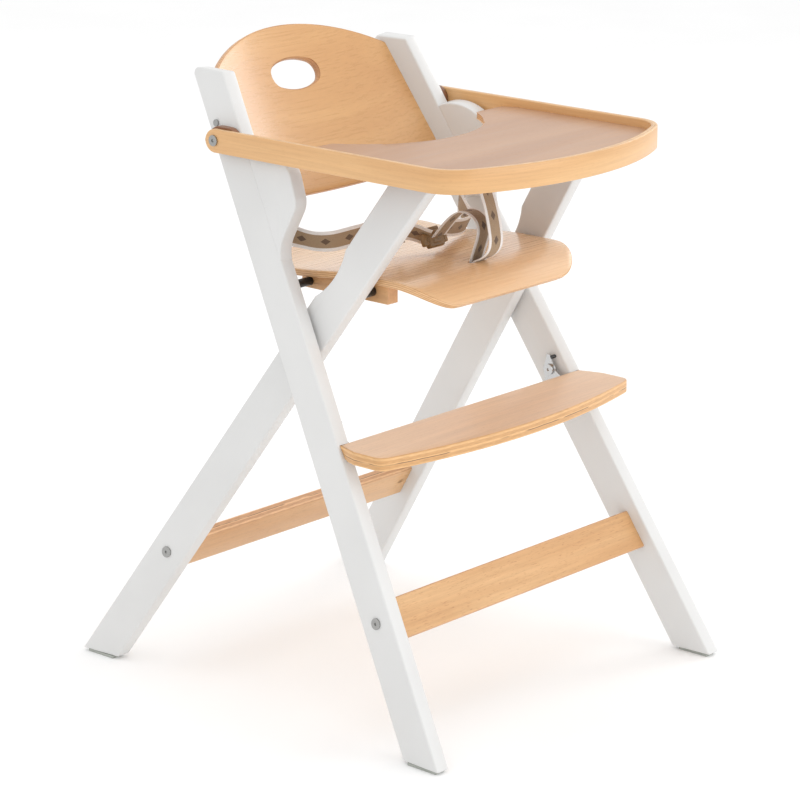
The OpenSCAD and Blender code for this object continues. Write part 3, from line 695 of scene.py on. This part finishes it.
def hand_hole():
    """The cutter for the oval hole, flared a little where it leaves both faces."""
    def outline(grow):
        end_r, side_r, reach = HOLE_END_R + grow, HOLE_SIDE_R + grow, HOLE_HALF - HOLE_END_R
        offset = math.sqrt((side_r - end_r) ** 2 - reach ** 2)
        lean = math.degrees(math.atan2(reach, offset))
        points = []
        for sign, base in ((1, 90), (-1, 270)):
            points += arc(0, -sign * offset, side_r, base - lean, base + lean, 16)
            points += arc(-sign * reach, 0, end_r, base + lean, base + 180 - lean, 12)[1:-1]
        return points
    bm = bmesh.new()
    levels = [(20, 8), (35.2, 1.8), (35.8, 0.5), (36.8, 0), (42.2, 0), (43.2, 0.5), (43.8, 1.8), (60, 10)]
    skin(bm, [[bm.verts.new(FRONT @ Vector((x, n, HOLE_UP + z))) for x, z in outline(grow)]
              for n, grow in levels])
    bmesh.ops.recalc_face_normals(bm, faces=bm.faces)
    return bm


cut(back, hand_hole(), "back_edge")

# tray board
TRAY_HALF, TRAY_FRONT, TRAY_TOP, RIM_H, RIM_T = 225.5, -349, 783.4, 32.4, 9
TRAY_BOW, TRAY_CORNER, BELLY_R, BELLY_Y, BOARD_REAR = 430, 60, 170, 63, -16
BOARD_TOP, BOARD_T = TRAY_TOP - 11.4, 9
TRAY_Y = 128.5


def tray_half(inset, bow_steps=24, corner_steps=20):
    w, bow, corner = TRAY_HALF - inset, TRAY_BOW - inset, TRAY_CORNER - inset
    by, cx = TRAY_FRONT + TRAY_BOW, w - corner
    cy = by - math.sqrt((bow - corner) ** 2 - cx * cx)
    turn = math.degrees(math.asin(cx / (bow - corner)))
    return arc(0, by, bow, -90, -90 + turn, bow_steps) + arc(cx, cy, corner, -90 + turn, 0, corner_steps)[1:]


def across_x(front, rear):
    """Pairs of points of a front and a rear outline given for X >= 0, mirrored and put in order across X."""
    left = [((-f[0], f[1]), (-r[0], r[1])) for f, r in zip(front[:0:-1], rear[:0:-1])]
    return left + list(zip(front, rear))


def rows_between(pairs, steps, z):
    """A level grid whose columns run from the front outline to the rear one."""
    return [[(f[0] + (r[0] - f[0]) * k / steps, f[1] + (r[1] - f[1]) * k / steps, z) for f, r in pairs]
            for k in range(steps + 1)]


def run_lengths(points):
    """The distance along a line of points to each of them."""
    lengths = [0]
    for a, b in zip(points, points[1:]):
        lengths.append(lengths[-1] + math.dist(a, b))
    return lengths


def board_rows():
    """Columns across the tray: each runs from the bowed front to the concave rear edge."""
    half = tray_half(RIM_T + 0.05)
    side = half[-1]
    front = half + [(side[0], side[1] + (BOARD_REAR - side[1]) * k / 12) for k in range(1, 13)]
    rear = []
    end = math.degrees(math.acos((BELLY_Y - BOARD_REAR) / BELLY_R))
    belly = [(BELLY_R * math.sin(a), BELLY_Y - BELLY_R * math.cos(a))
             for a in (math.radians(end * k / 40) for k in range(41))]
    tail = [(belly[-1][0] + (side[0] - belly[-1][0]) * k / 8, BOARD_REAR) for k in range(1, 9)]
    back_line = belly + tail
    lengths, front_lengths = run_lengths(back_line), run_lengths(front)
    for f in front_lengths:
        want = f / front_lengths[-1] * lengths[-1]
        k = max(i for i in range(len(lengths)) if lengths[i] <= want + 1e-9)
        k = min(k, len(lengths) - 2)
        t = (want - lengths[k]) / (lengths[k + 1] - lengths[k])
        rear.append(tuple(a + (b - a) * t for a, b in zip(back_line[k], back_line[k + 1])))
    return rows_between(across_x(front, rear)[:-1], 14, BOARD_TOP)


panel("tray_top_board", board_rows(), lambda p: (0, 0, 1), BOARD_T, ["board", "seat_edge"], "tray",
      "tray_board", 1.2)


# tray rim
ARM_END_STEPS = (8, 16, 24, 32, 40, 48, 56, 64, 71, 77, 82, 86)    # degrees round the arms' round ends


def rim():
    right = tray_half(RIM_T / 2, 30, 24)
    side = right[-1]
    radius = RIM_H / 2
    right += [(side[0], side[1] + (TRAY_Y - side[1]) * k / 30) for k in range(1, 31)]
    right += [(side[0], TRAY_Y + radius * math.sin(math.radians(a))) for a in ARM_END_STEPS]
    path = [(-x, y) for x, y in right[:0:-1]] + right
    bm = bmesh.new()
    ply = bm.verts.layers.float.new("ply")
    run = bm.verts.layers.float.new("run")
    travelled = 0.0
    r = 1.8                    # radius of the long edges
    half_t = RIM_T / 2
    middle_z = TRAY_TOP - RIM_H / 2
    rings = []
    for k, (x, y) in enumerate(path):
        a = path[max(k - 1, 0)]
        b = path[min(k + 1, len(path) - 1)]
        dx, dy = b[0] - a[0], b[1] - a[1]
        length = math.hypot(dx, dy)
        out = Vector((dy / length, -dx / length, 0))
        if k:
            travelled += math.dist(path[k - 1], path[k]) * MM
        past = max(0.0, y - TRAY_Y)
        half_h = math.sqrt(max(radius ** 2 - past ** 2, 0.3))
        r_up = min(r, half_h * 0.6)
        section = []
        for sx, sz, start in ((1, 1, 0), (-1, 1, 90), (-1, -1, 180), (1, -1, 270)):
            for step in range(4):
                turn = math.radians(start + 90 * step / 3)
                section.append((sx * (half_t - r) + r * math.cos(turn),
                                sz * (half_h - r_up) + r_up * math.sin(turn)))
        made = []
        for s, z in section:
            v = bm.verts.new(Vector((x, y, middle_z + z)) + out * s)
            v[ply] = (s + half_t) / RIM_T
            v[run] = travelled
            made.append(v)
        rings.append(made)
    top_and_bottom = (3, 11)   # places round the section, where the layers show
    for k, face in skin(bm, rings, capped=False):
        face.material_index = 1 if k in top_and_bottom else 0
    bm.faces.new(rings[0]).material_index = 1
    bm.faces.new(reversed(rings[-1])).material_index = 1
    return bm


finish_piece("tray_rim_band", rim(), ["rim", "rim_edge"], "tray", ["tray_rim"])

# footrest
FOOT_HALF, FOOT_Z, FOOT_T, FOOT_BOW, FOOT_FRONT, FOOT_REAR = 264, 395, 18, 1007, -245, -126
FOOT_TAPER = 11.5              # each end narrows by this towards the rear
PLANED = 14                    # width of the rear edge that is planed


def foot_rows():
    corner = 16
    bow_y = FOOT_FRONT + FOOT_BOW
    cx = FOOT_HALF - corner
    cy = bow_y - math.sqrt((FOOT_BOW - corner) ** 2 - cx * cx)
    turn = math.degrees(math.asin(cx / (FOOT_BOW - corner)))
    half = arc(0, bow_y, FOOT_BOW, -90, -90 + turn, 16) + arc(cx, cy, corner, -75, 0, 9)[1:]
    half += [(FOOT_HALF, -180), (FOOT_HALF, -162), (FOOT_HALF - 5, -146),
             (FOOT_HALF - FOOT_TAPER, FOOT_REAR - 2)]
    steps = len(half) - 1
    rear = [((FOOT_HALF - FOOT_TAPER) * (k / steps), FOOT_REAR) for k in range(steps + 1)]
    return rows_between(across_x(half, rear), 8, FOOT_Z)


def shear_rear(obj):
    """The rear edge is planed parallel to the fronts of the legs."""
    for v in obj.data.vertices:
        y = (v.co.y - ROW_Y) / MM
        depth = FOOT_Z - v.co.z / MM
        if y > FOOT_REAR - PLANED:
            share = min(1.0, (y - (FOOT_REAR - PLANED)) / PLANED)
            v.co.y -= depth * math.tan(FRONT_LEAN) * share * MM


foot = panel("footrest_board", foot_rows(), lambda p: (0, 0, 1), FOOT_T, ["foot", "foot_edge"],
             "footrest_unit", "footrest", 1.5)
shear_rear(foot)


# ---------------------------------------------------------------- pieces carried over from the CAD
def dress(node, key, width):
    """A CAD node keeps its shape, and gets a material and edges softened by width, in millimetres."""
    obj = nodes[node]
    obj.data.materials.clear()
    obj.data.materials.append(mats[key])
    weld = obj.modifiers.new("weld", "WELD")
    weld.merge_threshold = 0.00001
    soft = obj.modifiers.new("soften", "BEVEL")
    soft.width = width * MM
    soft.segments = 2
    soft.limit_method = "ANGLE"
    soft.angle_limit = math.radians(35)
    soft.harden_normals = True


for node, key, width in (
        ("front_crossrail_bolts", "zinc", 0.5), ("rear_crossrail_bolts", "zinc", 0.5),
        ("front_barrel_nuts", "zinc", 0.3), ("rear_barrel_nuts", "zinc", 0.3),
        ("front_foot_pads", "pad", 1.0), ("rear_foot_pads", "pad", 1.0),
        ("fold_pivot_bolts", "zinc", 0.4), ("fold_pivot_washers", "black", 0.4),
        ("fold_pivot_inserts", "brass", 0.2), ("backrest_bolts", "zinc", 0.6),
        ("left_seat_bearer", "bearer", 0.8), ("right_seat_bearer", "bearer", 0.8),
        ("seat_screws", "zinc", 0.3), ("seat_rear_bolts", "zinc", 0.4), ("seat_rear_spacers", "black", 0.5),
        ("seat_front_bolts", "zinc", 0.4), ("seat_front_spacers", "black", 0.6),
        ("left_footrest_bracket", "bracket", 0.4), ("right_footrest_bracket", "bracket", 0.4),
        ("footrest_screws", "zinc", 0.4), ("footrest_pivot_bolts", "bracket", 0.6),
        ("footrest_stop_pins", "steel", 0.4), ("tray_pivot_bolts", "zinc", 0.5),
        ("tray_spacer_blocks", "block", 1.5), ("tray_rest_pads", "block", 1.0), ("belt_screws", "zinc", 0.4)):
    dress(node, key, width)


# ---------------------------------------------------------------- harness
def smooth_line(points, steps):
    """Catmull-Rom through points, each a tuple of equal length, resampled."""
    out = []
    count = len(points)
    for i in range(count - 1):
        p0, p1 = points[max(i - 1, 0)], points[i]
        p2, p3 = points[i + 1], points[min(i + 2, count - 1)]
        for k in range(steps):
            t = k / steps
            out.append(tuple(
                0.5 * (2 * b + (c - a) * t + (2 * a - 5 * b + 4 * c - d) * t * t
                       + (3 * b - 3 * c + d - a) * t ** 3)
                for a, b, c, d in zip(p0, p1, p2, p3)))
    out.append(tuple(points[-1]))
    return out


WEB_T = 1.5                    # thickness of the webbing


def ribbon(name, stations, body, node, phase=0.0, mirrored=False):
    """Webbing through stations of (x, y, z, wx, wy, wz): a point and the direction of the tape's width.
    phase, in millimetres, moves its printed pattern along it."""
    line = smooth_line(stations, 10)
    centres = [Vector(s[:3]) for s in line]
    wide = [Vector(s[3:6]).normalized() for s in line]
    bm = bmesh.new()
    lu = bm.verts.layers.float.new("web_u")
    lv = bm.verts.layers.float.new("web_v")
    half = WEB_MM / 2
    left = [(-half, 0.0), (-half + 0.3, 0.45), (-half + 4.4, 0.62), (-half + 5.3, 0.42), (-half / 2, 0.5)]
    profile = left + [(0, 0.5)] + [(-w, t) for w, t in left[::-1]]
    section = profile + [(w, -t) for w, t in profile[-2:0:-1]]
    rings = []
    run = phase
    for k, c in enumerate(centres):
        a = centres[max(k - 1, 0)]
        b = centres[min(k + 1, len(centres) - 1)]
        tangent = (b - a).normalized()
        w = (wide[k] - tangent * wide[k].dot(tangent)).normalized()
        n = tangent.cross(w)
        if k:
            run += (c - centres[k - 1]).length
        made = []
        for s, t in section:
            v = bm.verts.new(c + w * s + n * t * WEB_T)
            v[lu] = run
            v[lv] = s
            made.append(v)
        rings.append(made)
    skin(bm, rings)
    if mirrored:
        bm.transform(MIRROR)
    return finish_piece(name, bm, ["webbing"], body, [node], 60)


# each belt runs from its screw in the wing, behind the place of the folded rear leg, into the buckle
left_belt = [
    (-200, 9, 652, 0.05, 0, 1), (-199.9, 22, 651.5, 0.05, 0, 1), (-199, 31, 650.5, 0.05, 0.05, 1),
    (-194.5, 37.5, 649, 0.05, 0.1, 1), (-187, 39.5, 646.5, 0, 0.1, 1), (-178, 37, 643.5, -0.1, 0.1, 1),
    (-170, 30, 640.5, -0.15, 0.1, 1), (-163, 20, 637.5, -0.2, 0, 1), (-157, 8, 635.5, -0.2, 0, 1),
    (-151, -4, 635.5, -0.15, 0, 1), (-143, -14, 636.5, -0.1, 0, 1), (-131, -21, 638.5, 0, 0, 1),
    (-114, -26.5, 641, 0, -0.05, 1), (-92, -32, 643, 0, -0.1, 1), (-66, -40, 643, -0.1, -0.2, 1),
    (-44, -51, 640, -0.15, -0.3, 1), (-30, -61, 636, -0.2, -0.4, 0.9), (-21, -69, 631, -0.2, -0.45, 0.85),
    (-15, -74, 628, -0.2, -0.45, 0.85)]
ribbon("waist_belt_left", left_belt, None, "left_waist_belt")
right_belt = left_belt[:6] + [
    (-170, 30, 636, -0.15, 0.1, 1), (-163, 20, 629, -0.2, 0, 1), (-156, 8, 621.5, -0.3, 0, 1),
    (-149, -3, 617.5, -0.4, -0.2, 0.9), (-140, -13, 615.5, -0.3, -0.3, 0.9),
    (-127, -21, 615, -0.1, -0.4, 0.9), (-108, -28, 616, 0, -0.4, 0.9), (-86, -34, 619, -0.1, -0.4, 0.9),
    (-65, -41, 624, -0.3, -0.42, 0.8), (-44, -51, 630, -0.47, -0.52, 0.7), (-31, -60, 631, -0.4, -0.5, 0.75),
    (-21, -69, 630, -0.25, -0.45, 0.85), (-15, -74, 628, -0.2, -0.45, 0.85)]
ribbon("waist_belt_right", right_belt, None, "right_waist_belt", mirrored=True, phase=9.0)
X_WIDE = (1, 0, 0)
inner = [(0, y, z, *X_WIDE) for y, z in (
    (SLOT_Y + 2, 590), (SLOT_Y + 2, 604), (-149.5, 614), (-154, 627), (-158.5, 640), (-160, 652), (-155, 664),
    (-142, 671.5), (-126, 671.5), (-112, 664), (-100, 653), (-90, 642), (-83, 634), (-79, 629))]
ribbon("crotch_tape", inner, "seat_unit", "crotch_strap")
outer = [(0, y, z, *X_WIDE) for y, z in (
    (SLOT_Y - 2, 590), (SLOT_Y - 2, 602), (-154.5, 607.5), (-163, 611.5), (-173, 618.5), (-179.5, 628),
    (-181.5, 639), (-180.4, 650), (-176.6, 667.7), (-171, 686.6), (-164.3, 704), (-158.5, 724), (-155, 742),
    (-153.5, 760))]
tray_tape = ribbon("tray_tape", outer, "seat_unit", "tray_strap", phase=5.0)
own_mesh(tray_tape)


def soft_block(x0, x1, y0, y1, z0, z1, width, segments=3):
    bm = box(x0, x1, y0, y1, z0, z1)
    bmesh.ops.bevel(bm, geom=bm.edges[:], offset=width, segments=segments, profile=0.5, affect="EDGES")
    return bm


def join(parts):
    whole = bmesh.new()
    for part in parts:
        mesh = bpy.data.meshes.new("part")
        part.to_mesh(mesh)
        part.free()
        whole.from_mesh(mesh)
        bpy.data.meshes.remove(mesh)
    return whole


BUCKLE_AT = Matrix.Translation((-5, -74, 626)) @ Matrix.Rotation(math.radians(-25), 4, "X")
SLIDER_X = -44                 # where the left belt's slider sits


def buckle():
    body = soft_block(-15, 15, -5.5, 5.5, -13, 11, 3.2, 4)
    crown = soft_block(-9, 9, -7.2, 7.2, -8, 5, 2.5, 4)
    loop = soft_block(-14, 14, -2.2, 2.2, 10, 16, 1.4)
    wings = []
    for s in (-1, 1):
        low, high = sorted((s * 13, s * 24))
        wings.append(soft_block(low, high, -4, 4, -9, 9, 2.2, 3))
        low, high = sorted((s * 16.5, s * 18.5))
        wings.append(soft_block(low, high, -5, 5, -7, 7, 0.9, 2))
    whole = join([body, crown, loop] + wings)
    whole.transform(BUCKLE_AT)
    return whole


finish_piece("harness_buckle", buckle(), ["buckle"], "seat_unit", ["buckle"])


def slider(belt, mirrored):
    """A three-bar slider, threaded on its belt."""
    k = min(range(len(belt)), key=lambda i: abs(belt[i][0] - SLIDER_X))
    along = (Vector(belt[k + 1][:3]) - Vector(belt[k - 1][:3])).normalized()
    wide = Vector(belt[k][3:])
    wide = (wide - along * wide.dot(along)).normalized()
    turn = Matrix((along, wide.cross(along), wide)).transposed().to_4x4()
    bars = [soft_block(-3, 3, -3.2, -1.4, -16, 16, 0.7, 2), soft_block(-8, 8, -2.6, 2.6, -18, -15.4, 1.0, 2),
            soft_block(-8, 8, -2.6, 2.6, 15.4, 18, 1.0, 2), soft_block(-8, -5, 1.2, 3.0, -16, 16, 0.7, 2),
            soft_block(5, 8, 1.2, 3.0, -16, 16, 0.7, 2)]
    whole = join(bars)
    whole.transform(Matrix.Translation(belt[k][:3]) @ turn)
    if mirrored:
        whole.transform(MIRROR)
    return whole


sliders = join([slider(left_belt, False), slider(right_belt, True)])
finish_piece("slider_frames", sliders, ["olive"], "seat_unit", ["belt_sliders"])
for name in ("waist_belt_left", "waist_belt_right"):
    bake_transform(bpy.data.objects[name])


# ---------------------------------------------------------------- floor and light
def stage():
    m = Mat("floor", 0.9)
    soft = m.noise((3, 3, 3), 2)
    m.colour(m.ramp(soft, [(0.3, 0.955), (0.7, 0.97)]))
    m.bsdf.inputs["Specular IOR Level"].default_value = 0.1
    bm = bmesh.new()
    bmesh.ops.create_grid(bm, x_segments=8, y_segments=8, size=14)
    mesh = bpy.data.meshes.new("floor")
    bm.to_mesh(mesh)
    bm.free()
    mesh.materials.append(m.mat)
    floor = bpy.data.objects.new("floor", mesh)
    bpy.context.scene.collection.objects.link(floor)


def lamp(name, at, look, size, power):
    data = bpy.data.lights.new(name, "AREA")
    data.shape = "SQUARE"
    data.size = size
    data.energy = power
    obj = bpy.data.objects.new(name, data)
    obj.location = at
    obj.rotation_euler = (Vector(look) - Vector(at)).to_track_quat("-Z", "Y").to_euler()
    bpy.context.scene.collection.objects.link(obj)


stage()
lamp("key", (1.0, -4.4, 1.9), (0, 0, 0.5), 3.2, 46)
lamp("side", (3.6, -0.3, 2.1), (0, 0, 0.6), 1.5, 22)
lamp("fill", (-4.5, -1.0, 2.6), (0, 0, 0.5), 3.0, 8)
lamp("top", (0, 0.5, 5.0), (0, 0, 0), 4.0, 22)
world = bpy.data.worlds.new("world")
world.use_nodes = True
world.node_tree.nodes["Background"].inputs["Color"].default_value = (1, 1, 1, 1)
world.node_tree.nodes["Background"].inputs["Strength"].default_value = 1.0
bpy.context.scene.world = world
bpy.context.scene.view_settings.view_transform = "Standard"
